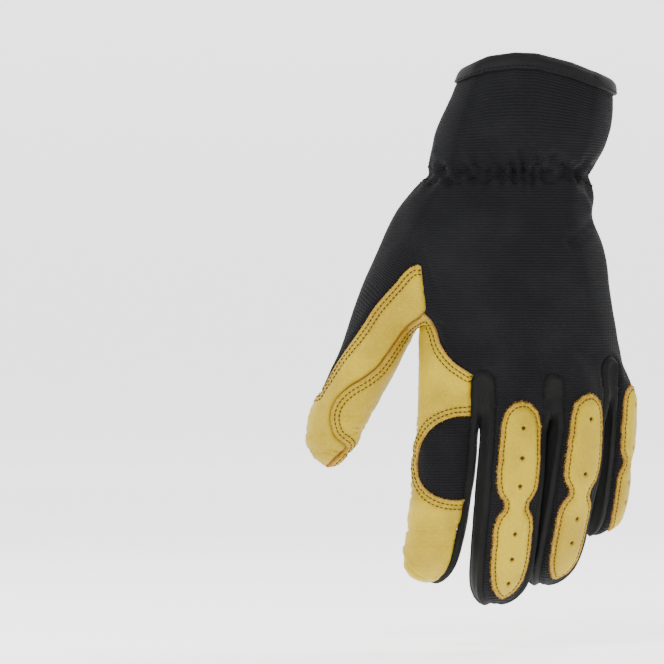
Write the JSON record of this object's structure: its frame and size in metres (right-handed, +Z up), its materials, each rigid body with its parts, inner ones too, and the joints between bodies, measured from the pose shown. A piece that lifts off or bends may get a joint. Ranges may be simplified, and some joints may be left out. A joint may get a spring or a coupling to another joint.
{
  "type": "leather and knit work glove for the left hand",
  "caption": "Left-hand work glove with a leather palm, a knit back with leather knuckle strips, a gathered wrist and a bound cuff, held as if worn.",
  "frame": {"origin": "middle of the wrist opening, at the top edge of the skin under its binding", "axes": "+Z up along the wrist, away from the fingers; -Y out of the back of the hand and +Y out of the palm; +X towards the little finger"},
  "size_m": [0.155, 0.0698, 0.2488],
  "materials": {
    "leather": "golden tan grain leather with a soft sheen and raw amber suede edges",
    "knit": "near-black fine rib knit, matte",
    "fourchette": "smooth charcoal fabric, matte",
    "binding": "black binding tape, slight sheen"
  },
  "bodies": {
    "root": {"knit_back": "knit", "palm_leather": "leather", "thumb_cover": "leather", "index_window": "knit", "fourchette_index_middle": "fourchette", "fourchette_middle_ring": "fourchette", "fourchette_ring_little": "fourchette", "knuckle_strip_middle": "leather", "knuckle_strip_ring": "leather", "knuckle_strip_little": "leather", "palm_pad_heel": "leather", "palm_pad_centre": "leather", "palm_pad_knuckles": "leather", "cuff_binding": "binding"}
  },
  "joints": []
}
